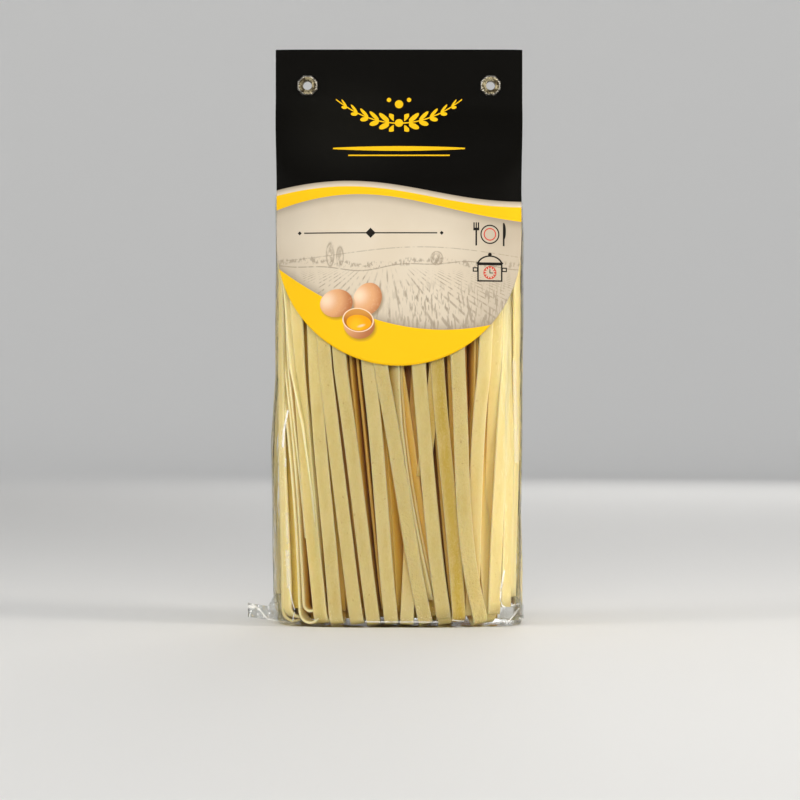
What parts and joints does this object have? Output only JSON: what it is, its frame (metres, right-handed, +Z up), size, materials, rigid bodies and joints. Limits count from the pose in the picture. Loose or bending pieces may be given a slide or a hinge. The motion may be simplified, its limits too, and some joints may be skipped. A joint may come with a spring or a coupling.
{
  "type": "bag of tagliatelle pasta",
  "caption": "Standing clear gusseted bag of long dry tagliatelle, closed by a folded header card with a round foot and brass eyelets.",
  "frame": {"origin": "middle of the flat base the bag stands on, midway between its front and back", "axes": "+Z up along the bag, -Y out of the printed front, +X to the right of someone facing the front"},
  "size_m": [0.127, 0.0592, 0.2639],
  "materials": {
    "egg_pasta": "dry rolled egg dough, matte and faintly rough",
    "clear_film": "thin clear wrinkled plastic film, glossy",
    "printed_card": "satin coated card printed in black, cream and yellow fields",
    "antique_brass": "dull rolled brass"
  },
  "bodies": {
    "root": {"pasta_bag": "egg_pasta", "bag_top": "clear_film", "seam_end": "clear_film", "header_card": "printed_card", "eyelet_left": "antique_brass", "eyelet_right": "antique_brass"}
  },
  "joints": []
}
